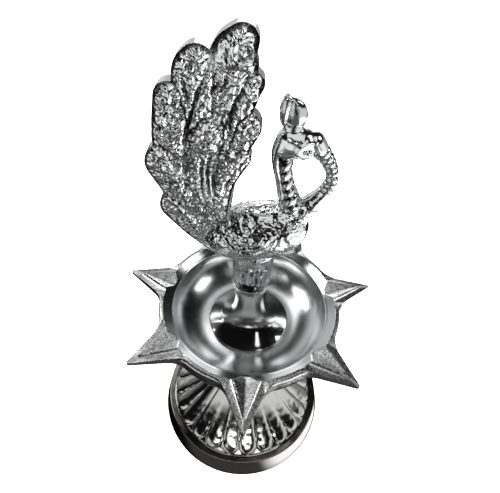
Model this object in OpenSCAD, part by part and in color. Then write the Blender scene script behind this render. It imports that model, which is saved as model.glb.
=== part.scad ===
// Standing oil lamp with a fluted foot, a star dish for wicks and a peacock finial, screwed together.
// Millimetres, +Z up, origin at the centre of the foot's bottom plane. The bird's side faces -Y, its head +X.

/* [Foot] */
// Diameter of the foot ring where it stands
foot_d = 75; // [72:0.5:84]
// Height of the plain foot ring
ring_h = 10; // [8:0.5:14]
// Height of the straight edge at the bottom of the foot ring
ring_edge_h = 1.5; // [0.5:0.1:3]
// How far the foot ring's side leans in up to its upper edge
ring_lean = 1.8; // [1:0.1:4]
// Width of the ring's flat top outside the bell
bell_ledge = 1.5; // [0.8:0.1:2.5]
// How far the bell's plain skirt, which is let into the ring, stands in from the lobes
skirt_inset = 1.2; // [0.6:0.1:2.5]
// Depth that the skirt is let into the ring
skirt_depth = 5; // [3:0.5:6.5]
// Diameter of the flat crown on top of the bell
crown_d = 19; // [17:0.5:24]
// Height of the crown above the ground
crown_z = 46; // [40:0.5:54]
// Thickness of the tapped crown
crown_t = 9; // [8:0.5:12]
// How strongly the bell's side is hollowed, from a plain cone at 1
bell_curve = 2; // [1.5:0.1:2.6]
// Wall of the bell, measured level
bell_wall = 3.6; // [2.8:0.1:4.5]
// Number of lobes round the bell
lobe_count = 24; // [16:1:30]
// Width of the groove between two lobes
groove_w = 1.4; // [0.8:0.1:2]
// Depth of the groove between two lobes, measured level
groove_depth = 1.5; // [0.6:0.1:2]
// Plain height under the grooves
lobe_foot_h = 1.6; // [1:0.1:3]
// Plain height over the grooves
groove_stop_h = 4; // [2:0.5:8]

/* [Stem] */
// Thickness of the washer on the crown
crown_washer_t = 1.2; // [0.8:0.1:2]
// How far the washer stands out past the crown
crown_washer_lip = 0.8; // [0.2:0.1:1.5]
// Height of the stem
stem_h = 16.3; // [14:0.1:24]
// Diameter of the stem's foot bead
stem_bead_d = 18; // [15:0.5:20]
// Height of the stem's foot bead
stem_bead_h = 2.4; // [1.5:0.1:4]
// Diameter of the stem's necks
stem_neck_d = 12; // [11:0.5:14]
// Diameter of the knop in the middle of the stem
stem_knop_d = 19; // [16:0.5:22]
// Height of the knop
stem_knop_h = 6; // [4:0.5:8]
// Diameter of the flange that carries the dish
stem_flange_d = 22; // [19:0.5:24]
// Thickness of that flange at its edge
stem_flange_t = 1.6; // [1:0.1:3]
// Thickness of the seal under the dish
seal_t = 0.8; // [0.5:0.1:1.5]

/* [Studs] */
// Diameter of the main stud's thread
main_stud_d = 8; // [6:0.5:9]
// Thread length of the main stud in the crown
main_engage = 7.5; // [5:0.5:8]
// Length of the main stud inside the cone
main_in_cone = 9.5; // [6:0.5:11]
// Diameter of the finial stud's thread
finial_stud_d = 6; // [4:0.5:6.5]
// Thread length of the finial stud in the bird
finial_engage = 6; // [4:0.5:8]
// Length of the finial stud inside the cone
finial_in_cone = 7.5; // [5:0.5:9]
// Chamfer on the ends of both studs
stud_chamfer = 0.7; // [0.3:0.1:1]

/* [Dish] */
// Diameter of the turned bowl at its upper edge
bowl_d = 64; // [58:0.5:64.5]
// Depth of the bowl
bowl_depth = 12; // [10:0.5:16]
// Thickness of the bowl's floor
floor_t = 3.2; // [2.5:0.1:5]
// Diameter of the flat floor
floor_d = 34; // [32.5:0.5:38]
// Width of the flared band along the bowl's edge
flare_w = 3.5; // [2.5:0.5:6]
// Height of the flared band
flare_h = 2; // [1.5:0.1:3.5]
// Width of the rough rim outside the bowl
rim_w = 1.5; // [1:0.1:3]
// Height of the wall's straight outer side
wall_side_h = 4.6; // [3:0.1:6]
// Diameter of the flat under the dish
dish_seat_d = 24; // [22:0.5:28]
// Number of wick spouts
spout_count = 7; // [5:1:8]
// Reach of the spout tips from the middle
spout_reach = 48; // [44:0.5:54]
// Half of the angle at a spout's tip
spout_half_angle = 24; // [20:1:28]
// Width of a spout's blunt tip
spout_tip_w = 0.8; // [0.4:0.1:2]
// Radius of the fillet between spout and wall
spout_fillet = 9; // [5:0.5:10]
// Thickness of the spout at its tip
spout_tip_t = 2.4; // [1.6:0.1:3]
// Reach of the wick channel inside a spout
channel_reach = 43.6; // [41:0.1:43.8]
// Half of the angle of the wick channel
channel_half_angle = 19; // [14:1:22]
// Depth of the wick channel at the bowl
channel_depth = 2; // [1:0.1:2.6]

/* [Cone] */
// Diameter of the cone's base
cone_base_d = 30.6; // [26:0.2:32]
// Height of the straight edge round the cone's base
cone_edge_h = 1; // [0.5:0.1:2]
// Diameter of the cone's neck
cone_neck_d = 11.6; // [10.5:0.1:13]
// Height of the cone
cone_h = 21.2; // [19.5:0.1:28]
// How sharply the cone flares towards its base
cone_curve = 3.9; // [2.5:0.1:5]
// Thickness of the washer under the bird
finial_washer_t = 0.8; // [0.5:0.1:1.5]
// Diameter of the washer under the bird
finial_washer_d = 12.2; // [11:0.1:13]

/* [Peacock] */
// Diameter of the bird's turned seat
seat_d = 11.8; // [10.5:0.1:13]
// Height of the tapered seat
seat_h = 5; // [3:0.5:7]
// Diameter of the stub under the body
stub_d = 13.8; // [12:0.2:16]
// Length of the body
body_l = 33; // [28:0.5:38]
// Diameter of the body
body_d = 18.8; // [16:0.2:22]
// Height of the body's middle over the seat
body_z = 25.5; // [24:0.5:30]
// Tilt of the body, chest up
body_tilt = 15; // [5:1:25]
// Thickness of the tail plate
tail_t = 4; // [3:0.5:7]
// How far every second feather lies behind its neighbours
feather_step = 0.4; // [0.2:0.1:0.8]
// Diameter of the eye bosses on the tail
eye_d = 4.4; // [3:0.2:5]
// How far the eye bosses stand out of the tail
eye_proud = 0.7; // [0.3:0.1:1.2]
// Diameter of the neck
neck_d = 5.8; // [5:0.2:7]
// Diameter of the bill strand from the head to the chest
bill_d = 3.8; // [3:0.2:4.6]
// Diameter of the head
head_d = 9.2; // [8:0.2:11]
// Thickness of the crest
crest_t = 2.6; // [1.6:0.2:3.6]

/* [Hidden] */
$fn = 96;
// Radial clearance of a thread, of a hole that a stud passes, and of the skirt in the ring
thread_gap = 0.05;
pass_gap = 0.2;
skirt_gap = 0.05;
// Extra depth of a blind tapped hole past its stud
blind_gap = 1.5;
// Overshoot of a cutting shape past the face that it opens
cut = 1;

foot_r = foot_d / 2;
ring_top_r = foot_r - ring_lean;
bell_r = ring_top_r - bell_ledge;
skirt_r = bell_r - skirt_inset;
crown_r = crown_d / 2;
main_r = main_stud_d / 2;
finial_r = finial_stud_d / 2;
bowl_r = bowl_d / 2;
floor_r = floor_d / 2;
wall_r = bowl_r + rim_w;
cone_base_r = cone_base_d / 2;
cone_neck_r = cone_neck_d / 2;

stem_z = crown_z + crown_washer_t;
seal_z = stem_z + stem_h;
dish_z = seal_z + seal_t;
floor_z = dish_z + floor_t;
rim_z = floor_z + bowl_depth;
cone_top_z = floor_z + cone_h;
seat_z = cone_top_z + finial_washer_t;

// Points of the bell's side, as steps of the height
bell_steps = [0 : 0.1 : 1];
function bell_at(t) = crown_r + (bell_r - crown_r) * pow(1 - t, bell_curve);
function bell_z(t) = ring_h + (crown_z - ring_h) * t;
function bell_side(inset) = [for (t = bell_steps) [bell_at(t) - inset, bell_z(t)]];

// How far each spout leans out of its even place, in degrees
spout_leans = [0.6, -1.2, 1.2, 0, 0, 0, -2.5];

// Tail feathers, root end and round tips: [x, height over the seat, tip radius], chosen by eye
tail_root = [-12.5, 18.5];
feathers = [[-22.6, 34.2, 6], [-24.4, 48.4, 6.9], [-22.7, 58.4, 5.4], [-21.2, 64.8, 6.2],
            [-15.8, 73.6, 6.1], [-6.6, 79.6, 4.7], [-4.2, 70.2, 3.8], [-5, 60.6, 4.6]];
// Circle that hollows the tail's edge towards the neck: [x, height over the seat, radius]
tail_waist = [7.8, 40.5, 15.8];
// Eye bosses on the tail: [x, height over the seat]
tail_eyes = [[-22.5, 61], [-16.6, 73.5], [-6.2, 78.1], [-13.5, 57.6], [-3.8, 70.4], [-4.4, 60.3]];
// Middle of the head, as [x, height over the seat]
head_at = [9.3, 56.2];
// Places of crest, neck and bill strand at the head, from the head's middle
crest_root_shift = [-1.5, 2.8];
crest_tip_shift = [-2.6, 9];
neck_top_shift = [-2.7, -0.2];
bill_root_shift = [3.7, 0.8];
crest_root = head_at + crest_root_shift;
crest_tip = head_at + crest_tip_shift;
// Middle line of neck and bill strand, three points each, as [x, height over the seat]
neck_line = [[11, 32], [5.9, 47], head_at + neck_top_shift];
bill_line = [head_at + bill_root_shift, [19.6, 46], [13, 33]];
crest_r = 3.6;
crest_root_w = 3;

// Quarter of an ellipse from [r1, z1], level there, to [r2, z2], upright there
function quarter(r1, z1, r2, z2) =
    [for (a = [0 : 10 : 90]) [r1 + (r2 - r1) * sin(a), z2 + (z1 - z2) * cos(a)]];

// A flat ring on the axis
module washer(r_in, r_out, z, t) {
    translate([0, 0, z])
        difference() {
            cylinder(r = r_out, h = t);
            translate([0, 0, -cut]) cylinder(r = r_in, h = t + 2 * cut);
        }
}

// A threaded rod at its outer thread diameter, with chamfered ends
module stud(r, z1, z2) {
    c = stud_chamfer;
    rotate_extrude()
        polygon([[0, z1], [r - c, z1], [r, z1 + c], [r, z2 - c], [r - c, z2], [0, z2]]);
}

// The plain ring that the lamp stands on, with the rebate for the bell's skirt
module foot_ring() {
    inner_r = skirt_r - bell_wall;
    ledge_z = ring_h - skirt_depth;
    shoulder = quarter(ring_top_r, ring_h, foot_r, ring_edge_h);
    color("gainsboro")
        rotate_extrude()
            polygon(concat(
                [[inner_r, ledge_z], [skirt_r + skirt_gap, ledge_z], [skirt_r + skirt_gap, ring_h]],
                shoulder,
                [[foot_r, 0], [inner_r, 0]]));
}

// One groove of the bell, an upright slot that follows the bell's side
module bell_groove() {
    low_z = ring_h + lobe_foot_h;
    high_z = crown_z - groove_stop_h;
    outer_r = bell_r + cut;
    rotate([90, 0, 0])
        translate([0, 0, -groove_w / 2])
            linear_extrude(groove_w)
                intersection() {
                    polygon(concat(bell_side(groove_depth), [[outer_r, crown_z], [outer_r, ring_h]]));
                    translate([0, low_z]) square([outer_r, high_z - low_z]);
                }
}

// The hollow fluted bell with its tapped crown
module foot_bell() {
    skirt_z = ring_h - skirt_depth;
    hole_r = main_r + thread_gap;
    crown_under_z = crown_z - crown_t;
    inner_skirt_r = skirt_r - bell_wall;
    hollow_side = [for (p = bell_side(bell_wall)) if (p[0] < inner_skirt_r && p[1] < crown_under_z) p];
    hollow_top_r = hollow_side[len(hollow_side) - 1][0];
    hollow = concat([[0, 0], [inner_skirt_r, 0], [inner_skirt_r, ring_h]], hollow_side,
                    [[hollow_top_r, crown_under_z], [0, crown_under_z]]);
    color("silver")
        difference() {
            rotate_extrude()
                polygon(concat([[0, skirt_z], [skirt_r, skirt_z], [skirt_r, ring_h]],
                               bell_side(0), [[0, crown_z]]));
            rotate_extrude() polygon(hollow);
            cylinder(r = hole_r, h = crown_z + cut);
            for (i = [0 : lobe_count - 1])
                rotate([0, 0, (i + 0.5) * 360 / lobe_count])
                    bell_groove();
        }
}

// The loose washer between crown and stem
module crown_washer() {
    color("lightgray") washer(main_r + pass_gap, crown_r + crown_washer_lip, crown_z, crown_washer_t);
}

// The turned stem: foot bead, knop between two necks, and the flange that carries the dish
module stem() {
    neck_r = stem_neck_d / 2;
    bead_r = stem_bead_d / 2;
    flange_r = stem_flange_d / 2;
    knop_r = stem_knop_d / 2;
    knop_mid_z = stem_h / 2;
    bead = [for (a = [-90 : 15 : 90])
        [bead_r - stem_bead_h / 2 * (1 - cos(a)), stem_bead_h / 2 * (1 + sin(a))]];
    knop = [for (a = [-90 : 10 : 90])
        [neck_r + (knop_r - neck_r) * cos(a), knop_mid_z + stem_knop_h / 2 * sin(a)]];
    flange_z = stem_h - stem_flange_t;
    cove_h = (flange_z - knop_mid_z - stem_knop_h / 2) / 2;
    cove = [for (a = [0 : 15 : 90])
        [flange_r - (flange_r - neck_r) * cos(a), flange_z - cove_h * (1 - sin(a))]];
    color("silver")
        translate([0, 0, stem_z])
            difference() {
                rotate_extrude()
                    polygon(concat([[0, 0]], bead, [[neck_r, stem_bead_h]], knop, cove,
                                   [[flange_r, stem_h], [0, stem_h]]));
                translate([0, 0, -cut]) cylinder(r = main_r + pass_gap, h = stem_h + 2 * cut);
            }
}

// The threaded rod from the crown up into the cone
module main_stud() {
    color("darkgray") stud(main_r, crown_z - main_engage, floor_z + main_in_cone);
}

// The soft washer that keeps the oil in
module dish_seal() {
    color("saddlebrown") washer(main_r + pass_gap, stem_flange_d / 2 - pass_gap, seal_z, seal_t);
}

// Outline of one half spout at +X: its straight side runs from the tip to the fillet on the wall
side_dir = [-cos(spout_half_angle), sin(spout_half_angle)];
side_out = [sin(spout_half_angle), cos(spout_half_angle)];
tip_at = [spout_reach, spout_tip_w / 2];
fillet_base = tip_at + spout_fillet * side_out;
fillet_b = fillet_base * side_dir;
fillet_c = fillet_base * fillet_base - pow(wall_r + spout_fillet, 2);
fillet_run = -fillet_b - sqrt(fillet_b * fillet_b - fillet_c);
fillet_at = fillet_base + fillet_run * side_dir;
side_end = tip_at + fillet_run * side_dir;
wall_touch = fillet_at * wall_r / (wall_r + spout_fillet);

module spout_outline() {
    difference() {
        polygon([[0, 0], [wall_touch[0], -wall_touch[1]], [side_end[0], -side_end[1]],
                 [tip_at[0], -tip_at[1]], tip_at, side_end, wall_touch]);
        for (s = [-1, 1])
            translate([fillet_at[0], s * fillet_at[1]]) circle(r = spout_fillet);
    }
}

// Spouts stand at equal angles, the first towards -Y, apart from the casting's small leans
function lean(i) = i < len(spout_leans) ? spout_leans[i] : 0;

module at_spouts() {
    for (i = [0 : spout_count - 1])
        rotate([0, 0, -90 + i * 360 / spout_count + lean(i)])
            children();
}

// The shallow V channel that a wick lies in, deepest at the bowl
module wick_channel() {
    // the root lies inside the bowl's hollow, clear of the flare's lower edge
    root_x = bowl_r - flare_w - cut;
    root_half = (channel_reach - root_x) * tan(channel_half_angle);
    // the channel's top stands over the rim by the same slope, so that its edges break through cleanly
    over = cut;
    grow = 1 + over / channel_depth;
    half = root_half * grow;
    end_x = root_x + (channel_reach - root_x) * grow;
    translate([0, 0, rim_z])
        polyhedron(
            points = [[end_x, 0, over], [root_x, half, over], [root_x, -half, over],
                      [root_x, 0, -channel_depth]],
            faces = [[0, 2, 1], [0, 1, 3], [0, 3, 2], [1, 2, 3]]);
}

// The cast and turned oil dish with its star of spouts
module star_dish() {
    flare_r = bowl_r - flare_w;
    under_z = rim_z - wall_side_h;
    tip_under_z = rim_z - spout_tip_t;
    bowl = concat([[0, floor_z]], quarter(floor_r, floor_z, flare_r, rim_z - flare_h),
                  [[bowl_r, rim_z], [bowl_r, rim_z + cut], [0, rim_z + cut]]);
    underside = quarter(dish_seat_d / 2, dish_z, wall_r, under_z);
    color("silver")
        difference() {
            union() {
                rotate_extrude()
                    polygon(concat([[0, dish_z]], underside, [[wall_r, rim_z], [0, rim_z]]));
                intersection() {
                    translate([0, 0, under_z]) linear_extrude(wall_side_h) at_spouts() spout_outline();
                    rotate_extrude()
                        polygon([[0, under_z], [wall_r, under_z], [spout_reach + cut, tip_under_z],
                                 [spout_reach + cut, rim_z], [0, rim_z]]);
                }
            }
            rotate_extrude() polygon(bowl);
            at_spouts() wick_channel();
            cylinder(r = main_r + pass_gap, h = rim_z);
        }
}

// The polished trumpet that clamps the dish floor, tapped from below and from above
module nozzle_cone() {
    flare_h = cone_h - cone_edge_h;
    edge_z = floor_z + cone_edge_h;
    side = [for (t = [0 : 0.05 : 1])
        [cone_neck_r + (cone_base_r - cone_neck_r) * pow(1 - t, cone_curve), edge_z + flare_h * t]];
    color("whitesmoke")
        difference() {
            rotate_extrude()
                polygon(concat([[0, floor_z], [cone_base_r, floor_z]], side, [[0, cone_top_z]]));
            translate([0, 0, floor_z - cut])
                cylinder(r = main_r + thread_gap, h = main_in_cone + blind_gap + cut);
            translate([0, 0, cone_top_z - finial_in_cone])
                cylinder(r = finial_r + thread_gap, h = finial_in_cone + cut);
        }
}

// The short stud that the bird screws down on
module finial_stud() {
    color("darkgray") stud(finial_r, cone_top_z - finial_in_cone, seat_z + finial_engage);
}

// The loose washer under the bird's seat
module finial_washer() {
    color("lightgray") washer(finial_r + pass_gap, finial_washer_d / 2, cone_top_z, finial_washer_t);
}

// Centre of the circle through three points
function circle_centre(a, b, c) =
    let (d = 2 * (a[0] * (b[1] - c[1]) + b[0] * (c[1] - a[1]) + c[0] * (a[1] - b[1])),
         aa = a * a, bb = b * b, cc = c * c)
    [(aa * (b[1] - c[1]) + bb * (c[1] - a[1]) + cc * (a[1] - b[1])) / d,
     (aa * (c[0] - b[0]) + bb * (a[0] - c[0]) + cc * (b[0] - a[0])) / d];

// Angle of a point from a centre, and the turn from one angle on to the next
full_turn = 360;
function angle_of(p, c) = atan2(p[1] - c[1], p[0] - c[0]);
function turn(from, to) = (to - from + 2 * full_turn) % full_turn;

// A round bar in the bird's plane, along the arc through three points
module arc_bar(line, d) {
    c = circle_centre(line[0], line[1], line[2]);
    a0 = angle_of(line[0], c);
    a2 = angle_of(line[2], c);
    forward = turn(a0, angle_of(line[1], c)) < turn(a0, a2);
    start = forward ? a0 : a2;
    sweep = forward ? turn(a0, a2) : turn(a2, a0);
    rotate([90, 0, 0])
        translate(c)
            rotate([0, 0, start])
                rotate_extrude(angle = sweep)
                    translate([norm(line[0] - c), 0]) circle(d = d);
}

// Outline of one feather: a wedge from the root that runs on into the round tip
module feather_outline(f) {
    tip = [f[0], f[1]];
    along = tip - tail_root;
    reach = norm(along);
    heading = atan2(along[1], along[0]);
    spread = acos(f[2] / reach);
    touch = [for (s = [-1, 1]) tip + f[2] * [-cos(heading + s * spread), -sin(heading + s * spread)]];
    translate(tip) circle(r = f[2]);
    polygon([tail_root, touch[0], tip, touch[1]]);
}

// A flat piece of the bird, its outline drawn in the bird's plane
module bird_plate(t) {
    rotate([90, 0, 0])
        translate([0, 0, -t / 2])
            linear_extrude(t)
                children();
}

// The bird: tapped stub, body, neck, head, crest, bill strand and the fanned tail, one casting
module peacock() {
    egg = [for (a = [-90 : 7.5 : 90]) [body_d / 2 * cos(a), body_l / 2 * sin(a)]];
    color("silver")
        translate([0, 0, seat_z])
            difference() {
                union() {
                    rotate_extrude()
                        polygon([[0, 0], [seat_d / 2, 0], [stub_d / 2, seat_h],
                                 [stub_d / 2, body_z], [0, body_z]]);
                    translate([0, 0, body_z])
                        rotate([0, 90 - body_tilt, 0])
                            rotate_extrude() polygon(egg);
                    for (i = [0 : len(feathers) - 1])
                        bird_plate(tail_t - 2 * feather_step * (i % 2))
                            difference() {
                                feather_outline(feathers[i]);
                                translate([tail_waist[0], tail_waist[1]]) circle(r = tail_waist[2]);
                            }
                    for (e = tail_eyes)
                        translate([e[0], 0, e[1]])
                            rotate([90, 0, 0])
                                cylinder(d = eye_d, h = tail_t + 2 * eye_proud, center = true);
                    arc_bar(neck_line, neck_d);
                    arc_bar(bill_line, bill_d);
                    translate([head_at[0], 0, head_at[1]]) sphere(d = head_d);
                    bird_plate(crest_t) {
                        translate(crest_tip) circle(r = crest_r);
                        polygon([crest_root - [crest_root_w / 2, 0], crest_root + [crest_root_w / 2, 0],
                                 crest_tip + [crest_r, 0], crest_tip - [crest_r, 0]]);
                    }
                }
                translate([0, 0, -cut])
                    cylinder(r = finial_r + thread_gap, h = finial_engage + blind_gap + cut);
            }
}

foot_ring();
foot_bell();
crown_washer();
stem();
main_stud();
dish_seal();
star_dish();
nozzle_cone();
finial_stud();
finial_washer();
peacock();
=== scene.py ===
import math
from types import SimpleNamespace

import bmesh
import bpy
import numpy as np
from mathutils import Matrix, Vector, noise


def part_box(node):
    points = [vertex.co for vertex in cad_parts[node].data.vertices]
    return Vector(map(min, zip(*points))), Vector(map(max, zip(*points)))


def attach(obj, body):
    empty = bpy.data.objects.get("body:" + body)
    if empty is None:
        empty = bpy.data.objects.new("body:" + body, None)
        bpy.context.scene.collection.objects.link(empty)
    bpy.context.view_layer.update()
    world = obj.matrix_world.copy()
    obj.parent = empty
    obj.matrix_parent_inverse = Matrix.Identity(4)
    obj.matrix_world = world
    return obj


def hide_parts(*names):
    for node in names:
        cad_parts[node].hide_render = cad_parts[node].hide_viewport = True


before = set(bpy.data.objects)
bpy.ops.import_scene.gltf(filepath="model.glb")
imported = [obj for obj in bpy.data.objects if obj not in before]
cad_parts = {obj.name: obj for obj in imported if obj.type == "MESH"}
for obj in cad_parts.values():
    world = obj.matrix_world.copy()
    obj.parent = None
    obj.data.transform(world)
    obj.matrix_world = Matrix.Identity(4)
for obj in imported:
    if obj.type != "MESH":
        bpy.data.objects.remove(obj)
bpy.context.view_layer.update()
mm = 0.001  # pieces are modelled in millimetres and brought to metres at the end
print("frame loaded:", len(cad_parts), "nodes")


def boxMm(node):
    low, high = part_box(node)
    return low / mm, high / mm


# levels that the pieces share, read from the frame
dishLow, dishHigh = boxMm("star_dish")
coneLow, coneHigh = boxMm("nozzle_cone")
seatZ = boxMm("peacock")[0].z
tailTop = boxMm("peacock")[1].z
bellFoot = boxMm("foot_bell")[1].x
rimZ = dishHigh.z
floorZ = coneLow.z


# small tools

weld = 0.001  # points closer than this become one
near = 0.01  # a point this close to a level lies on it
seedShift = (17.3, 7.1, 3.7)  # keeps the noises of two seeds apart


def named(values):  # so that look["edge"] reads look.edge
    return SimpleNamespace(**values)


def wire(tree, node, links):
    for key, source in links.items():
        tree.links.new(source, node.inputs[key])


def addNode(tree, kind, settings=None, links=None):  # a socket goes by its name or its number
    node = tree.nodes.new(kind)
    for key, value in (settings or {}).items():
        if isinstance(key, int) or key in node.inputs:
            node.inputs[key].default_value = value
        else:
            setattr(node, key, value)
    wire(tree, node, links or {})
    return node


def addObject(name, data):
    thing = bpy.data.objects.new(name, data)
    bpy.context.scene.collection.objects.link(thing)
    return thing


def meshOf(bm, name):
    mesh = bpy.data.meshes.new(name)
    bm.to_mesh(mesh)
    bm.free()
    return mesh


def copies(shape, places):  # one bmesh with a copy of the mesh at each place, not yet joined
    bm = bmesh.new()
    for place in places:
        copy = shape.copy()
        copy.transform(place)
        bm.from_mesh(copy)
        bpy.data.meshes.remove(copy)
    bpy.data.meshes.remove(shape)
    return bm


def repeated(bm, places):
    whole = copies(meshOf(bm, "repeat"), places)
    bmesh.ops.remove_doubles(whole, verts=whole.verts, dist=weld)
    return whole


def spunProfile(points, steps, sectors, closed=True):  # one sector is spun, then set round the axis
    bm = bmesh.new()
    verts = [bm.verts.new((r, 0, z)) for r, z in points]
    pairs = list(zip(verts, verts[1:]))
    if closed:
        pairs.append((verts[-1], verts[0]))
    edges = [bm.edges.new(pair) for pair in pairs]
    bmesh.ops.spin(bm, geom=verts + edges, axis=(0, 0, 1), cent=(0, 0, 0), steps=steps // sectors,
                   angle=math.tau / sectors)
    bm = repeated(bm, [Matrix.Rotation(math.tau * i / sectors, 4, "Z") for i in range(sectors)])
    bmesh.ops.recalc_face_normals(bm, faces=bm.faces)
    return bm


def arc(centre, radius, start, end, count):
    turns = [math.radians(start + (end - start) * i / count) for i in range(count + 1)]
    return [(centre[0] + radius * math.cos(a), centre[1] + radius * math.sin(a)) for a in turns]


def quarter(low, high, count):  # level at low, upright at high
    turns = [math.pi / 2 * i / count for i in range(count + 1)]
    return [(low[0] + (high[0] - low[0]) * math.sin(a), high[1] + (low[1] - high[1]) * math.cos(a))
            for a in turns]


def fineLine(points, step):  # a chain of points cut into short stretches
    fine = []
    for (r1, z1), (r2, z2) in zip(points, points[1:]):
        count = max(1, round(math.hypot(r2 - r1, z2 - z1) / step))
        fine += [(r1 + (r2 - r1) * i / count, z1 + (z2 - z1) * i / count) for i in range(count)]
    return fine + [points[-1]]


def readVectors(rows, key):
    flat = np.empty(len(rows) * 3)
    rows.foreach_get(key, flat)
    return flat.reshape(-1, 3)


def meshPoints(mesh):
    return readVectors(mesh.vertices, "co")


def meshNormals(mesh):
    return readVectors(mesh.vertex_normals, "vector")


def setPoints(mesh, points):
    mesh.vertices.foreach_set("co", np.ascontiguousarray(points, dtype=np.float32).ravel())
    mesh.update()


def grain(points, size, seed):  # soft noise from -1 to 1, one value a point
    shift = Vector([seed * part for part in seedShift])
    return np.array([noise.noise(Vector(p) / size + shift) for p in points])


def ramp(values, low, high):  # 0 at low, 1 at high
    return np.clip((values - low) / (high - low), 0, 1)


def ridge(far, wide):
    return np.exp(-(far / wide) ** 2)


def ridges(far, lines, size=1):  # several ridges, each as (place as a share of the size, height, width)
    return sum(high * ridge(far - share * size, wide) for share, high, wide in lines)


def storeValue(mesh, name, values):
    layer = mesh.attributes.new(name, "FLOAT", "POINT")
    layer.data.foreach_set("value", np.asarray(values, dtype=np.float32))


def dressMesh(mesh, name, materials, body, nodes, sharpAngle=35):
    mesh.name = name
    mesh.transform(Matrix.Scale(mm, 4))
    mesh.polygons.foreach_set("use_smooth", [True] * len(mesh.polygons))
    mesh.set_sharp_from_angle(angle=math.radians(sharpAngle))
    mesh.materials.clear()
    for material in materials:
        mesh.materials.append(material)
    piece = addObject(name, mesh)
    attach(piece, body)
    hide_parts(*nodes)
    print("made", name, len(mesh.polygons), "faces")


def dressBmesh(bm, name, materials, body, nodes, sharpAngle=35):
    dressMesh(meshOf(bm, name), name, materials, body, nodes, sharpAngle)


# metals

polishLook = {
    "light": (0.60, 0.60, 0.60), "dark": (0.50, 0.50, 0.50), "smooth": 0.06, "rough": 0.12,
    "ringScale": 4000, "ringStrength": 0.1, "ringDepth": 0.02,
    "hazeScale": 260, "hazeStrength": 0.05, "hazeDepth": 0.05,
}
fluteLook = {
    "light": (0.76, 0.76, 0.75), "dark": (0.42, 0.42, 0.41), "smooth": 0.07, "rough": 0.17,
    "streaks": 32, "ringScale": 70, "ringStrength": 0.2, "ringDepth": 0.1,
    "hazeScale": 500, "hazeStrength": 0.1, "hazeDepth": 0.06,
}
satinLook = {
    "light": (0.70, 0.71, 0.71), "dark": (0.62, 0.63, 0.64), "smooth": 0.19, "rough": 0.23,
    "anisotropy": 0.85, "ringScale": 5000, "ringStrength": 0.1, "ringDepth": 0.02,
    "hazeScale": 420, "hazeStrength": 0.03, "hazeDepth": 0.05,
}
# ring and stem: a much darker copy of the turned metal, painted shade for the dark room the ring mirrors
ringLook = {
    "light": (0.24, 0.224, 0.212), "dark": (0.165, 0.153, 0.145), "smooth": 0.08, "rough": 0.18,
    "anisotropy": 0.3, "ringScale": 3500, "ringStrength": 0.12, "ringDepth": 0.02,
    "hazeScale": 300, "hazeStrength": 0.05, "hazeDepth": 0.05,
}
steelLook = {
    "light": (0.66, 0.66, 0.66), "dark": (0.50, 0.50, 0.51), "smooth": 0.22, "rough": 0.38,
    "anisotropy": 0.4, "ringScale": 3000, "ringStrength": 0.2, "ringDepth": 0.02,
    "hazeScale": 900, "hazeStrength": 0.1, "hazeDepth": 0.05,
}
castLook = {
    "light": (0.86, 0.87, 0.87), "dark": (0.010, 0.010, 0.010), "smooth": 0.09, "rough": 0.19,
    "stain": 0.06, "pitScale": 1900, "pitStrength": 0.2, "pitDepth": 0.12,
    "skinScale": 900, "skinStrength": 0.16, "skinDepth": 0.1,
}
rimLook = {
    "light": (0.80, 0.81, 0.80), "dark": (0.03, 0.03, 0.03), "smooth": 0.20, "rough": 0.36,
    "stain": 0.10, "pitScale": 1900, "pitStrength": 0.15, "pitDepth": 0.12,
    "skinScale": 1700, "skinStrength": 0.15, "skinDepth": 0.1,
}


def newMaterial(name, settings):
    material = bpy.data.materials.new(name)
    material.use_nodes = True
    tree = material.node_tree
    shader = tree.nodes["Principled BSDF"]
    for key, value in settings.items():
        shader.inputs[key].default_value = value
    return material, tree, shader


def metalShader(name, look):
    anisotropy = getattr(look, "anisotropy", 0.0)
    material, tree, shader = newMaterial(name, {
        "Metallic": 1.0, "Base Color": (*look.light, 1), "Roughness": look.smooth,
        "Anisotropic": anisotropy,
    })
    if anisotropy:  # the tangent runs round the axis, and a quarter turn lays the gleam across it
        shader.inputs["Anisotropic Rotation"].default_value = 0.25
        tangent = addNode(tree, "ShaderNodeTangent", {"direction_type": "RADIAL", "axis": "Z"})
        wire(tree, shader, {"Tangent": tangent.outputs["Tangent"]})
    return material, tree, shader


def objectPlace(tree):
    return addNode(tree, "ShaderNodeTexCoord").outputs["Object"]


def vectorMath(tree, operation, values, links):
    return addNode(tree, "ShaderNodeVectorMath", {"operation": operation, **values}, links).outputs


def turnedCoordinates(tree, place, scale):  # radius and height, so that the pattern runs round the axis
    split = addNode(tree, "ShaderNodeSeparateXYZ", links={"Vector": place}).outputs
    flat = addNode(tree, "ShaderNodeCombineXYZ", links={"X": split["X"], "Y": split["Y"]})
    radius = vectorMath(tree, "LENGTH", {}, {0: flat.outputs["Vector"]})["Value"]
    rings = addNode(tree, "ShaderNodeCombineXYZ", links={"X": radius, "Z": split["Z"]})
    scaled = addNode(tree, "ShaderNodeMapping", {"Scale": (scale, 1, scale)},
                     {"Vector": rings.outputs["Vector"]})
    return scaled.outputs["Vector"]


def streakCoordinates(tree, place, around, along):  # so that the pattern runs up the flutes
    flat = vectorMath(tree, "MULTIPLY", {1: (1, 1, 0)}, {0: place})["Vector"]
    outward = vectorMath(tree, "NORMALIZE", {}, {0: flat})["Vector"]
    tall = vectorMath(tree, "MULTIPLY", {1: (0, 0, along)}, {0: place})["Vector"]
    return vectorMath(tree, "MULTIPLY_ADD", {1: (around, around, 0)}, {0: outward, 2: tall})["Vector"]


def noiseTexture(tree, place, scale, detail, roughness):
    settings = {"Scale": scale, "Detail": detail, "Roughness": roughness}
    return addNode(tree, "ShaderNodeTexNoise", settings, {"Vector": place}).outputs["Fac"]


def cellTexture(tree, place, scale):
    cells = addNode(tree, "ShaderNodeTexVoronoi", {"Scale": scale}, {"Vector": place})
    return cells.outputs["Distance"]


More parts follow.
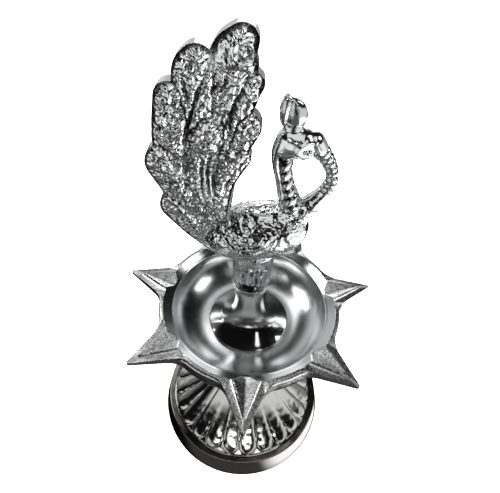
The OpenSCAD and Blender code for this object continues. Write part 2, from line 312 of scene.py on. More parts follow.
def spread(tree, source, low, high):  # the middle of the noise, stretched from low to high
    settings = {"From Min": 0.3, "From Max": 0.7, "To Min": low, "To Max": high}
    return addNode(tree, "ShaderNodeMapRange", settings, {"Value": source}).outputs["Result"]


def tint(tree, factor, first, second):  # sockets 6 and 7 are the colours, and 2 is the result
    settings = {"data_type": "RGBA", 6: (*first, 1), 7: (*second, 1)}
    return addNode(tree, "ShaderNodeMix", settings, {"Factor": factor}).outputs[2]


def bump(tree, height, strength, depth, under=None):
    links = {"Height": height}
    if under:
        links["Normal"] = under
    settings = {"Strength": strength, "Distance": depth * mm}
    return addNode(tree, "ShaderNodeBump", settings, links).outputs["Normal"]


def turnedMetal(name, look):
    material, tree, shader = metalShader(name, look)
    place = objectPlace(tree)
    if hasattr(look, "streaks"):
        pattern = streakCoordinates(tree, place, look.streaks, look.ringScale)
    else:
        pattern = turnedCoordinates(tree, place, look.ringScale)
    lines = noiseTexture(tree, pattern, scale=1.0, detail=4.0, roughness=0.65)
    haze = noiseTexture(tree, place, look.hazeScale, detail=5.0, roughness=0.5)
    wear = lines if hasattr(look, "streaks") else haze
    turned = bump(tree, lines, look.ringStrength, look.ringDepth)
    wire(tree, shader, {
        "Roughness": spread(tree, wear, look.smooth, look.rough),
        "Base Color": tint(tree, wear, look.dark, look.light),
        "Normal": bump(tree, haze, look.hazeStrength, look.hazeDepth, turned),
    })
    return material


def castMetal(name, look):  # rough-cast skin with pits, with painted shade where the relief is hollow
    material, tree, shader = metalShader(name, look)
    place = objectPlace(tree)
    pits = cellTexture(tree, place, look.pitScale)
    skin = noiseTexture(tree, place, look.skinScale, detail=2.0, roughness=0.5)
    hollow = addNode(tree, "ShaderNodeAttribute", {"attribute_name": "hollow"}).outputs["Fac"]
    # the skin's random stain plus the painted shade from the hollow attribute darken the colour
    settings = {"operation": "MULTIPLY_ADD", "use_clamp": True, 1: look.stain}
    stain = addNode(tree, "ShaderNodeMath", settings, {0: skin, 2: hollow})
    coarse = bump(tree, pits, look.pitStrength, look.pitDepth)
    wire(tree, shader, {
        "Roughness": spread(tree, skin, look.smooth, look.rough),
        "Base Color": tint(tree, stain.outputs["Value"], look.light, look.dark),
        "Normal": bump(tree, skin, look.skinStrength, look.skinDepth, coarse),
    })
    return material


polish = turnedMetal("mirrorPolish", named(polishLook))
fluted = turnedMetal("flutedPolish", named(fluteLook))
satin = turnedMetal("lathedSatin", named(satinLook))
ringFinish = turnedMetal("turnedRing", named(ringLook))
steel = turnedMetal("plainSteel", named(steelLook))
cast = castMetal("brightCasting", named(castLook))
castRim = castMetal("castEdge", named(rimLook))
print("metals ready")


# oiled leather for the seal

sealLook = {
    "light": (0.23, 0.12, 0.06), "dark": (0.09, 0.045, 0.02), "rough": 0.55,
    "grainScale": 1400, "grainStrength": 0.5, "grainDepth": 0.1,
}


def oiledLeather(look):
    material, tree, shader = newMaterial("oiledLeather", {"Roughness": look.rough})
    cells = cellTexture(tree, objectPlace(tree), look.grainScale)
    wire(tree, shader, {
        "Base Color": tint(tree, cells, look.dark, look.light),
        "Normal": bump(tree, cells, look.grainStrength, look.grainDepth),
    })
    return material


leather = oiledLeather(named(sealLook))
print("leather ready")


# foot ring

footRing = {
    "steps": 288, "edge": 0.5, "lean": 2.15, "swell": 0.15, "bandLow": 0.9, "bandHigh": 9.0,
    "bandRows": 22, "bead": 0.5, "beadOut": 0.9, "lip": 4.8, "corner": 0.3, "rebate": 33.2,
    "rebateEase": 0.2, "rebateDeep": 4.9,
}


def makeFootRing(look):
    low, high = boxMm("foot_ring")
    outer, top = high.x, high.z
    inner, edge, corner = bellFoot - look.lip, look.edge, look.corner
    points = [(inner, low.z + corner), (inner + corner, low.z)]
    points += arc((outer - edge, low.z + edge), edge, -90, 0, 6)
    for i in range(look.bandRows + 1):  # leaning band, a little swollen
        t = i / look.bandRows
        points.append((outer - look.lean * t + look.swell * math.sin(math.pi * t),
                       look.bandLow + (look.bandHigh - look.bandLow) * t))
    points += arc((bellFoot + look.beadOut, top - look.bead), look.bead, -25, 100, 10)
    wall, ease, shelf = look.rebate, look.rebateEase, top - look.rebateDeep
    points += [(wall + ease, top + ease - corner), (wall, top - corner), (wall, shelf), (inner, shelf)]
    bm = spunProfile(points, look.steps, 24)
    dressBmesh(bm, "footRing", [ringFinish], "base", ["foot_ring"])


makeFootRing(named(footRing))


# fluted bell

footBell = {
    "lobes": 24, "stepsPerLobe": 20, "rows": 90, "curve": 2.0, "crown": 9.5, "wall": 3.6,
    "hollow": 29.4, "skirt": 33.0, "skirtGap": 0.25, "hole": 4.05, "crownThick": 9.0,
    "crownRound": 1.2, "tongueHigh": 1.6, "tongueFlat": 0.2, "tongueHalf": 0.46, "tongueTop": 0.93,
    "topFade": 0.06, "endAbove": 0.35, "endLong": 3.0, "tongueFade": 0.35, "uneven": 0.3,
    "unevenGrain": (2.2, 14),
}


def makeFootBell(look):
    low, high = boxMm("foot_bell")
    crown, hollow, skirt, hole = look.crown, look.hollow, look.skirt, look.hole
    flat, fade = look.tongueFlat, look.tongueFade
    ringTop = boxMm("foot_ring")[1].z
    tall = high.z - ringTop
    under = high.z - look.crownThick
    rows = [i / look.rows for i in range(look.rows + 1)]
    outside = [(crown + (bellFoot - crown) * (1 - t) ** look.curve, ringTop + tall * t) for t in rows]
    inside = [(r - look.wall, z) for r, z in outside
              if r > crown + look.crownRound and r - look.wall < hollow]
    profile = outside + [(hole, high.z), (hole, under), (inside[-1][0], under)] + inside[::-1]
    profile += [(hollow, ringTop), (hollow, low.z), (skirt, low.z), (skirt, ringTop - look.skirtGap),
                (bellFoot - look.tongueHigh, ringTop - flat)]
    bm = spunProfile(profile, look.lobes * look.stepsPerLobe, look.lobes)
    mesh = meshOf(bm, "footBell")
    points = meshPoints(mesh)
    radius = np.hypot(points[:, 0], points[:, 1])
    t = (points[:, 2] - ringTop) / tall
    skin = crown + (bellFoot - crown) * np.clip(1 - t, 0, 1) ** look.curve
    onSkin = (np.abs(skin - radius) < 2 * near) & (t > -0.001) & (t < look.tongueTop)
    turn = (np.arctan2(points[:, 1], points[:, 0]) * look.lobes / math.tau) % 1 - 0.5
    # every lobe is a rounded tongue with a round lower end, narrower and flatter towards the crown
    above = np.clip((points[:, 2] - ringTop - look.endAbove) / look.endLong, 0, 1)
    roundEnd = np.sqrt(1 - (1 - above) ** 2)
    share = np.clip(np.abs(turn) / np.maximum(look.tongueHalf * roundEnd, 0.001), 0, 1)
    lowPart = np.clip(1 - t / fade, 0, 1)
    rise = flat + (look.tongueHigh - flat) * lowPart
    lift = rise * np.sqrt(1 - share ** 2) * roundEnd
    topFade = np.clip((look.tongueTop - t) / look.topFade, 0, 1)
    uneven = look.uneven * grain(points, *look.unevenGrain) * lowPart * above
    scale = np.where(onSkin, (radius + (lift - rise) * topFade + uneven) / radius, 1)
    points[:, :2] *= scale[:, None]
    setPoints(mesh, points)
    dressMesh(mesh, "footBell", [fluted], "base", ["foot_bell"], 60)


makeFootBell(named(footBell))


# stem under the dish

stemShape = {
    "steps": 192, "hole": 4.15, "bead": 9.0, "beadHigh": 2.4, "neck": 6.0, "neckEase": 0.6,
    "cove": 0.9, "coveUp": 1.2, "knop": 9.5, "knopHalf": 3.0, "knopGap": 0.2, "flange": 11.0,
    "flangeThick": 1.6, "flareHigh": 2.2, "edge": 0.4,
}


def makeStem(look):
    stemLow, stemHigh = boxMm("stem")
    low, high = stemLow.z, stemHigh.z
    middle, half = (low + high) / 2, look.beadHigh / 2
    neck, flange, edge = look.neck, look.flange, look.edge
    beadTop, waist = low + look.beadHigh, neck + look.neckEase
    knopEnd = look.knopHalf + look.knopGap
    knopTurns = [math.radians(a) for a in range(-90, 91, 6)]
    flareTurns = [math.radians(a) for a in range(8, 91, 6)]
    points = [(look.hole, low)]
    points += arc((look.bead - half, low + half), half, -90, 90, 14)
    points += [(neck + 0.5, beadTop + 0.05)]
    points += arc((neck + look.cove, beadTop + look.coveUp), look.cove, 220, 140, 6)
    points += [(waist, middle - knopEnd)]
    points += [(waist + (look.knop - waist) * math.cos(a), middle + look.knopHalf * math.sin(a))
               for a in knopTurns]
    points += [(neck + 0.25, middle + knopEnd)]
    points += [(neck + (flange - neck) * (1 - math.cos(a)),
                high - look.flangeThick - look.flareHigh * (1 - math.sin(a))) for a in flareTurns]
    points += arc((flange - edge, high - 3 * edge), edge, 0, 90, 5)
    points += [(flange - 2 * edge, high), (look.hole, high)]
    bm = spunProfile(points, look.steps, 12)
    dressBmesh(bm, "stem", [ringFinish], "dish", ["stem"])


makeStem(named(stemShape))


# washers and the seal

washers = {
    "crown_washer": {"name": "crownWasher", "body": "crown_washer", "hole": 4.2, "edge": 0.25},
    "finial_washer": {"name": "finialWasher", "body": "finial_washer", "hole": 3.2, "edge": 0.2},
    "dish_seal": {"name": "dishSeal", "body": "dish", "hole": 4.2, "edge": 0.3},
}


def makeWasher(node, material):
    look = named(washers[node])
    low, high = boxMm(node)
    edge = look.edge
    inner, outer = look.hole + edge, high.x - edge
    bottom, top = low.z + edge, high.z - edge
    points = arc((inner, bottom), edge, 180, 270, 4) + arc((outer, bottom), edge, -90, 0, 5)
    points += arc((outer, top), edge, 0, 90, 5) + arc((inner, top), edge, 90, 180, 4)
    dressBmesh(spunProfile(points, 160, 10), look.name, [material], look.body, [node])


makeWasher("crown_washer", steel)
makeWasher("finial_washer", steel)
makeWasher("dish_seal", leather)


# studs

threadShape = {
    "stepsPerTurn": 48, "coreSteps": 64, "flat": 0.12, "depth": 0.6, "start": 0.1, "taper": 0.2,
    "chamfer": 0.5, "sunk": 0.02, "mainPitch": 1.25, "finialPitch": 1.0,
}


def makeStud(name, node, pitch, look):  # a core with a thread wound round it, turn by turn
    low, high = boxMm(node)
    radius = high.x
    root = radius - look.depth * pitch
    crest = pitch * look.flat
    rib = [(root, 0), (radius, pitch / 2 - crest / 2), (radius, pitch / 2 + crest / 2), (root, pitch)]
    bm = bmesh.new()
    verts = [bm.verts.new((r, 0, z)) for r, z in rib]
    edges = [bm.edges.new(pair) for pair in zip(verts, verts[1:])]
    steps = look.stepsPerTurn
    bmesh.ops.spin(bm, geom=verts + edges, axis=(0, 0, 1), cent=(0, 0, 0), steps=steps, angle=math.tau,
                   dvec=(0, 0, pitch / steps))
    turns = int((high.z - low.z - pitch) / pitch)
    levels = [low.z + look.start + pitch * i for i in range(turns)]
    bm = repeated(bm, [Matrix.Translation((0, 0, level)) for level in levels])
    for v in bm.verts:  # both ends taper into the chamfers
        room = min(v.co.z - low.z, high.z - v.co.z)
        reach = math.hypot(v.co.x, v.co.y)
        limit = root - look.taper + max(0.0, room)
        if reach > limit:
            v.co.x *= limit / reach
            v.co.y *= limit / reach
    chamfer, side = look.chamfer, root + look.sunk
    core = [(0, low.z), (root - chamfer, low.z), (side, low.z + chamfer), (side, high.z - chamfer),
            (root - chamfer, high.z), (0, high.z)]
    coreMesh = meshOf(spunProfile(core, look.coreSteps, 8, closed=False), "core")
    bm.from_mesh(coreMesh)
    bpy.data.meshes.remove(coreMesh)
    bmesh.ops.recalc_face_normals(bm, faces=bm.faces)
    dressBmesh(bm, name, [steel], "dish", [node], 40)


makeStud("mainStud", "main_stud", threadShape["mainPitch"], named(threadShape))
makeStud("finialStud", "finial_stud", threadShape["finialPitch"], named(threadShape))


# star dish

starDish = {
    "spouts": 7, "stepsPerSpout": 96, "leans": [0.6, -1.2, 1.2, 0, 0, 0, -2.5], "reach": 48.0,
    "tipWide": 0.8, "sideAngle": 24, "fillet": 9.0, "wall": 33.5, "bowl": 32.0, "hole": 4.2,
    "floor": 16.5, "floorStep": 1.5, "bowlRows": 34, "flareIn": 28.5, "flareHigh": 2.1,
    "flareRound": 0.7, "flareDrop": 0.5, "flareStep": 0.3, "stripRows": 34, "sideHigh": 4.6,
    "sideStep": 0.6, "seat": 12.0, "underRows": 20, "tipThick": 2.4, "channelReach": 43.6,
    "channelAngle": 19, "channelDeep": 1.7, "channelRun": 2.2, "channelRough": 1.6,
    "ridgeWide": 0.3, "ridgeHigh": 0.15, "edgeDrop": 0.8, "roughness": 0.035, "channelDark": 0.9,
    "edgeDark": 0.35, "coarseGrain": (0.9, 3), "fineGrain": (0.42, 4),
}


def spoutOutline(look):
    side = math.radians(look.sideAngle)
    along = np.array([-math.cos(side), math.sin(side)])
    out = np.array([math.sin(side), math.cos(side)])
    tip = np.array([look.reach, look.tipWide / 2])
    base = tip + look.fillet * out
    half = base @ along
    run = -half - math.sqrt(half * half - base @ base + (look.wall + look.fillet) ** 2)
    centre = base + run * along
    sideEnd = tip + run * along
    return {
        "tipTurn": math.atan2(tip[1], tip[0]), "sideTurn": math.atan2(sideEnd[1], sideEnd[0]),
        "wallTurn": math.atan2(centre[1], centre[0]), "sideReach": tip @ out, "side": side,
        "centre": centre,
    }


def starReach(turn, look, outline):  # how far out the star's edge lies, at angles from a spout's middle
    away = np.abs(turn)
    tip = look.reach / np.cos(away)
    side = outline["sideReach"] / np.sin(outline["side"] + away)
    along = outline["centre"][0] * np.cos(away) + outline["centre"][1] * np.sin(away)
    square = outline["centre"] @ outline["centre"] - look.fillet ** 2
    fillet = along - np.sqrt(np.maximum(0, along * along - square))
    limits = [away < outline["tipTurn"], away < outline["sideTurn"], away < outline["wallTurn"]]
    return np.select(limits, [tip, side, fillet], look.wall)


def spoutTurns(angle, look):  # angle of each point from the middle of its nearest spout
    axes = np.radians([-90 + i * 360 / look.spouts + lean for i, lean in enumerate(look.leans)])
    turns = (angle[:, None] - axes[None, :] + math.pi) % math.tau - math.pi
    return turns[np.arange(len(angle)), np.abs(turns).argmin(axis=1)]


def dishProfile(look):  # bowl, star's strip, side and underside, with small steps that ease the corners
    bowlEdge, wall, flareIn, flareRound = look.bowl, look.wall, look.flareIn, look.flareRound
    flareZ = rimZ - look.flareHigh
    sideZ = rimZ - look.sideHigh
    bendZ = flareZ - look.flareDrop
    bowl = fineLine([(look.hole, floorZ), (look.floor - 1, floorZ)], look.floorStep)
    bowl += quarter((look.floor, floorZ), (flareIn, bendZ), look.bowlRows)
    bowl += arc((flareIn + flareRound, bendZ), flareRound, 180, 112, 5)[1:]
    bowl += fineLine([(flareIn + 0.75, flareZ + 0.28), (bowlEdge - 0.35, rimZ - 0.32)], look.flareStep)
    bowl += [(bowlEdge - 0.12, rimZ - 0.16)]
    strip = [(bowlEdge + (wall - bowlEdge) * i / look.stripRows, rimZ)
             for i in range(look.stripRows + 1)]
    side = fineLine([(wall, rimZ - 0.45), (wall, sideZ + 0.3)], look.sideStep)
    under = quarter((look.seat, dishLow.z), (wall - 0.05, sideZ), look.underRows)[::-1]
    return bowl + strip + side + under + [(look.hole, dishLow.z)]


def makeStarDish(look):
    bowlEdge, wall, sideZ = look.bowl, look.wall, rimZ - look.sideHigh
    bm = spunProfile(dishProfile(look), look.spouts * look.stepsPerSpout, look.spouts * 4)
    mesh = meshOf(bm, "starDish")
    points = meshPoints(mesh)
    radius = np.hypot(points[:, 0], points[:, 1])
    angle = np.arctan2(points[:, 1], points[:, 0])
    z = points[:, 2].copy()
    turn = spoutTurns(angle, look)
    edge = starReach(turn, look, spoutOutline(look))
    # the strip, the side and the edge under it are stretched out to the star
    onStrip = (radius > bowlEdge - near) & (z > rimZ - 10 * near)
    onSide = (radius > wall - near) & (z > sideZ - 5 * near) & ~onStrip
    underEdge = (radius > wall - 6 * near) & (z < sideZ + near) & (z > sideZ - 10 * near)
    grow = (edge - bowlEdge) / (wall - bowlEdge)
    radius = np.where(onStrip | onSide | underEdge, bowlEdge + (radius - bowlEdge) * grow, radius)
    ahead, aside = radius * np.cos(turn), np.abs(radius * np.sin(turn))
    thin = (edge - wall) / (look.reach - wall)
    deep = look.sideHigh + (look.tipThick - look.sideHigh) * np.clip(thin, 0, 1)
    z = np.where(onSide | underEdge, rimZ - (rimZ - z) * deep / look.sideHigh, z)
    # outside the wick channel the strips fall towards the star's edge
    onSpout = np.clip(thin * 6, 0, 1)
    half = np.maximum(0, (look.channelReach - ahead) * math.tan(math.radians(look.channelAngle)))
    outer = np.maximum(half + 0.3, edge * np.sin(np.abs(turn)))
    fall = np.clip((aside - half) / (outer - half), 0, 1) * onSpout
    share = np.clip((radius - bowlEdge) / np.maximum(0.3, edge - bowlEdge), 0, 1)
    fall = np.maximum(fall, share ** 3 * np.clip(1 - thin * 3, 0, 1))
    lowered = look.ridgeHigh * (1 - ridge(aside - half, look.ridgeWide)) * onSpout
    z = np.where(onStrip, z - look.edgeDrop * fall - lowered, z)
    z = np.where(onSide, z - look.edgeDrop * np.clip(1 - (rimZ - z) / deep, 0, 1), z)
    # the channel is a shallow V with a grainy floor
    length = look.channelReach - bowlEdge
    sink = look.channelDeep * np.clip((look.channelReach - ahead) / length, 0, 1.3)
    into = np.clip(1 - aside / np.maximum(half, 0.01), 0, 1)
    inChannel = (half > 0) & (aside < half) & (radius > bowlEdge - look.channelRun) & (z > rimZ - 3)
    z = np.where(inChannel, np.minimum(z, rimZ - sink * into), z)
    points = np.column_stack((radius * np.cos(angle), radius * np.sin(angle), z))
    setPoints(mesh, points)
    rough = np.clip((radius - bowlEdge + 0.05) / 0.3, 0, 1)
    channelled = np.where(inChannel & (radius > bowlEdge), look.channelRough, 1.0)
    lumps = 0.6 * grain(points, *look.coarseGrain) + 0.7 * grain(points, *look.fineGrain)
    points += meshNormals(mesh) * (rough * channelled * lumps * look.roughness)[:, None]
    setPoints(mesh, np.clip(points, dishLow, dishHigh))
    # painted shade in the low spots of the cast edge, strongest in the wick channel
    dark = np.where(inChannel, look.channelDark, look.edgeDark)
    storeValue(mesh, "hollow", np.clip(0.2 - lumps, 0, 1) * rough * dark)
    dressMesh(mesh, "starDish", [satin, castRim], "dish", ["star_dish"], 40)
    outside, underside = (bowlEdge - 2 * near) * mm, (floorZ - 0.5) * mm
    for face in mesh.polygons:  # turned satin in the bowl, casting everywhere else
        if math.hypot(face.center.x, face.center.y) > outside or face.center.z < underside:
            face.material_index = 1


makeStarDish(named(starDish))


# trumpet cone

trumpetCone = {
    "steps": 256, "rows": 110, "edge": 1.0, "corner": 0.3, "edgeEase": 0.25, "inset": 0.12,
    "curve": 3.9, "neck": 5.8, "stepLines": [4.2, 9.2], "stepSize": 0.03, "stepRun": 1.5,
    "bore": 4.05, "boreHigh": 11, "tapBore": 3.1, "tapDeep": 7.4,
}


def makeCone(look):
    low, high, base = coneLow.z, coneHigh.z, coneHigh.x
    edge, corner, ease, shoulder = look.edge, look.corner, look.edgeEase, coneHigh.x - look.inset
    points = [(look.bore, low), (base - corner, low)]
    points += arc((base - corner, low + corner), corner, -90, 0, 4)[1:]
    points += [(base, low + edge - ease), (shoulder, low + edge)]
    for i in range(1, look.rows + 1):
        t = i / look.rows
        tall = low + edge + (high - low - edge) * t
        radius = look.neck + (shoulder - look.neck) * (1 - t) ** look.curve
        for line in look.stepLines:
            if tall - low > line:
                radius -= look.stepSize * math.exp(-((tall - low - line) / look.stepRun) ** 2)
        points.append((radius, tall))
    points[-1] = (points[-1][0] - ease, high)
    points += [(look.tapBore, high), (look.tapBore, high - look.tapDeep),
               (look.bore, low + look.boreHigh)]
    dressBmesh(spunProfile(points, look.steps, 16), "trumpetCone", [polish], "dish",
               ["nozzle_cone"], 45)


makeCone(named(trumpetCone))


# peacock, shared tools

def voxelUnion(bm, voxel, softness):  # one skin over all the shapes in the bmesh
    mesh = meshOf(bm, "rough")
    rough = addObject("rough", mesh)
    skin = rough.modifiers.new("skin", "REMESH")
    skin.mode = "VOXEL"
    skin.voxel_size = voxel
    graph = bpy.context.evaluated_depsgraph_get()
    merged = bpy.data.meshes.new_from_object(rough.evaluated_get(graph))
    bpy.data.objects.remove(rough)
    bpy.data.meshes.remove(mesh)
    bm = bmesh.new()
    bm.from_mesh(merged)
    for i in range(softness):
        bmesh.ops.smooth_vert(bm, verts=bm.verts, factor=0.5, use_axis_x=True, use_axis_y=True,
                              use_axis_z=True)
    bm.to_mesh(merged)
    bm.free()
    return merged


def roundDisc():
    bm = bmesh.new()
    bmesh.ops.create_cone(bm, cap_ends=True, segments=40, radius1=1, radius2=1, depth=2)
    return meshOf(bm, "disc")


def roundBall():
    bm = bmesh.new()
    bmesh.ops.create_uvsphere(bm, u_segments=36, v_segments=18, radius=1)
    return meshOf(bm, "ball")


def atDisc(centre, radius, half, back=0.0):
    place = Matrix.Translation((centre[0], back, seatZ + centre[1]))
    return place @ Matrix.Rotation(math.pi / 2, 4, "X") @ Matrix.Diagonal((radius, radius, half, 1))


def atEgg(centre, sizes, tilt=0):
    place = Matrix.Translation((centre[0], 0, seatZ + centre[1]))
    return place @ Matrix.Rotation(math.radians(-tilt), 4, "Y") @ Matrix.Diagonal((*sizes, 1))


def smoothLine(points, count):  # a curve through a few points
    ends = [np.array(p, dtype=float) for p in points]
    ends = [2 * ends[0] - ends[1]] + ends + [2 * ends[-1] - ends[-2]]
    line = []
    for a, b, c, d in zip(ends, ends[1:], ends[2:], ends[3:]):
        for i in range(count):
            t = i / count
            line.append(0.5 * (2 * b + (c - a) * t + (2 * a - 5 * b + 4 * c - d) * t * t
                               + (3 * b - a - 3 * c + d) * t ** 3))
    return line + [ends[-2]]


farAway = 99.0  # more than any distance in the relief


def lineField(x, h, points):  # distance to a chain of points, and the share of its length run there
    far, along = np.full(len(x), farAway), np.zeros(len(x))
    lengths = [math.hypot(b[0] - a[0], b[1] - a[1]) for a, b in zip(points, points[1:])]
    run = 0.0
    for a, b, length in zip(points, points[1:], lengths):
        dx, dh = b[0] - a[0], b[1] - a[1]
        t = np.clip(((x - a[0]) * dx + (h - a[1]) * dh) / length ** 2, 0, 1)
        away = np.hypot(x - a[0] - t * dx, h - a[1] - t * dh)
        along = np.where(away < far, (run + t * length) / sum(lengths), along)
        far = np.minimum(far, away)
        run += length
    return far, along


def lineDistance(x, h, points):
    return lineField(x, h, points)[0]


def bars(phase):  # rounded bars side by side, one for each unit
    return np.sqrt(1 - (2 * (phase % 1) - 1) ** 2)


def hollowness(mesh, look):  # 1 where a point lies that deep under the smoothed skin
    ends = np.empty(len(mesh.edges) * 2, dtype=np.int64)
    mesh.edges.foreach_get("vertices", ends)
    first, second = ends[0::2], ends[1::2]
    points = meshPoints(mesh)
    count = np.bincount(first, minlength=len(points)) + np.bincount(second, minlength=len(points))
    smooth = points.copy()
    for i in range(look.hollowRounds):
        total = [np.bincount(first, smooth[second, axis], len(points))
                 + np.bincount(second, smooth[first, axis], len(points)) for axis in range(3)]
        smooth = 0.5 * smooth + 0.5 * np.column_stack(total) / np.maximum(count, 1)[:, None]
    return np.clip(((smooth - points) * meshNormals(mesh)).sum(axis=1) / look.hollowDepth, -1, 1)


# peacock's tail

peacockTail = {
    "voxel": 0.24, "softness": 2, "samples": 12, "plate": 2.2, "shift": 0.4, "under": 0.9,
    "facing": 0.6, "edge": 0.9, "edgeWide": 1.5, "edgeFall": 3, "dome": 2.1, "shaftDome": 0.5,
    "domeRun": 1.45, "tipLong": 13.0, "blend": 0.35, "seamWide": 0.18, "seamLow": 0.4,
    "seamFade": (42, 56), "grooveDeep": 0.9, "grooveWide": 0.6, "ledgeHigh": 0.4, "ledgeWide": 0.5,
    "barbHigh": 0.2, "barbPitch": 1.3, "barbSlant": 0.8, "shaftHigh": 0.25, "shaftWide": 0.4,
    "tipBarbs": 0.4, "lumps": 0.36, "tipLumps": 0.25, "lowLumps": 0.6, "lumpFade": (40, 62),
    "swells": 0.3, "backShare": 0.5, "backSwells": 0.4, "backEdge": 0.3, "wander": 0.6,
    "lineWander": 0.6, "hollowRounds": 14, "hollowDepth": 0.4,
    "grains": {  # size and seed of each noise
        "wanderX": (2.4, 8), "wanderH": (2.4, 9), "patches": (3.0, 10), "coarse": (1.5, 1),
        "fine": (0.9, 2), "swells": (3.0, 7),
    },
}
# feathers: (x, height over the seat, half width) from root to tip, and how far forward each lies
feathers = [
    [[(-12, 24, 2.4), (-10, 52, 3.2), (-7.8, 72, 5.4), (-7.9, 77.2, 5.1), (-6.0, 80.5, 3.7)], 0.05],
    [[(-13, 24, 2.4), (-16.0, 48, 3.4), (-17.0, 70.4, 5.0), (-16.0, 75.4, 4.1)], 0.1],
    [[(-13, 24, 2.4), (-18.6, 40, 4.0), (-22.8, 53, 5.0), (-23, 58.5, 5.0), (-22.8, 67.0, 3.9)], 0.2],
    [[(-12, 24, 2.4), (-10.5, 50, 3.2), (-4.6, 68.6, 2.9), (-3.2, 71.6, 2.7)], 0.25],
    [[(-12, 24, 2.4), (-10.5, 46, 3.6), (-4.7, 60.8, 4.2)], 0.3],
    [[(-12.5, 22, 2.8), (-19, 34, 4.6), (-24.3, 48.4, 6.8)], 0.4],
    [[(-12.5, 24, 2.8), (-13.6, 42, 4.0), (-13.4, 57.3, 5.4)], 0.4],
    [[(-12, 23, 2.4), (-10.5, 42, 3.2), (-5.4, 52, 2.8)], 0.4],
    [[(-12.5, 19.5, 3.2), (-17.5, 26.5, 4.9), (-22.6, 34.2, 5.9)], 0.5],
]
# plate that carries the feathers
tailUnder = [(-12.5, 22, 3), (-14, 36, 6.5), (-14.5, 50, 8.5), (-13.5, 60, 8.5), (-11.5, 70, 6.5),
             (-11, 74.5, 4)]
# eyes on the feather ends and bosses on the edge: x, height over the seat and radius, then their ridges
tailEyes = [(-5.7, 78.1, 1.9), (-16.9, 74.3, 1.6), (-22.5, 61.0, 1.9), (-13.5, 57.6, 1.7),
            (-2.9, 59.9, 1.6)]
tailBosses = [(-2.6, 72.3, 1.4), (-2.9, 69.0, 1.3), (-25.0, 47.5, 1.5)]
eyeRidges = [(0, 0.4, 0.8), (0.72, -0.45, 0.36), (1.2, 0.3, 0.4)]
bossRidges = [(0.8, 0.5, 0.5), (0, -0.3, 0.5)]
# deep lines between the feathers, and ledges where a lower feather's end stands forward
tailGrooves = [
    [(-11.7, 79.2), (-12.9, 76.4), (-15.9, 68.8), (-18.9, 60.2), (-20.4, 52.5), (-21.1, 46.0)],
    [(-8.9, 73.4), (-10.0, 70.7), (-11.3, 68.9)],
    [(-11.2, 71.2), (-12.7, 68.8)],
    [(-4.6, 72.3), (-6.1, 68.7), (-8.4, 63.4), (-8.4, 59.8), (-9.1, 55.4)],
    [(-19.7, 72.5), (-18.7, 68.5), (-18.4, 64.7)],
    [(-15.4, 52.7), (-16.2, 45.5), (-16.0, 39.9), (-14.7, 35.5)],
    [(-13.4, 54.1), (-14.3, 46.0), (-14.2, 37.4)],
    [(-11.2, 48.4), (-12.6, 45.9), (-12.4, 43.4), (-12.9, 39.0)],
    [(-7.4, 46.5), (-8.5, 44.6), (-9.6, 39.9)],
    [(-20.5, 43.0), (-20.4, 40.7)],
]
tailLedges = [
    [(-25.1, 54.9), (-24.2, 53.9), (-21.7, 53.4)],
    [(-25.4, 37.0), (-23.3, 35.7), (-19.7, 35.7)],
    [(-14.6, 54.1), (-12.9, 54.9)],
    [(-9.9, 53.9), (-7.6, 53.1)],
    [(-7.6, 75.7), (-6.2, 75.3), (-4.0, 76.3), (-2.9, 77.8)],
]


def featherField(x, h, line):  # depth inside one feather, and the place along and across it
    deep = np.full(len(x), -farAway)
    along, across = np.zeros(len(x)), np.zeros(len(x))
    run = 0.0
    for here, after in zip(line, line[1:] + [2 * line[-1] - line[-2]]):
        step = after[:2] - here[:2]
        length = math.hypot(*step)
        dx, dh = x - here[0], h - here[1]
        depth = here[2] - np.hypot(dx, dh)
        closer = depth > deep
        deep = np.where(closer, depth, deep)
        along = np.where(closer, run + (dx * step[0] + dh * step[1]) / length, along)
        across = np.where(closer, (dh * step[0] - dx * step[1]) / length, across)
        run += length
    return deep, along, across


def fadeUp(h, low, limits):  # from the low value to 1 over a stretch of height
    return low + (1 - low) * ramp(h, *limits)


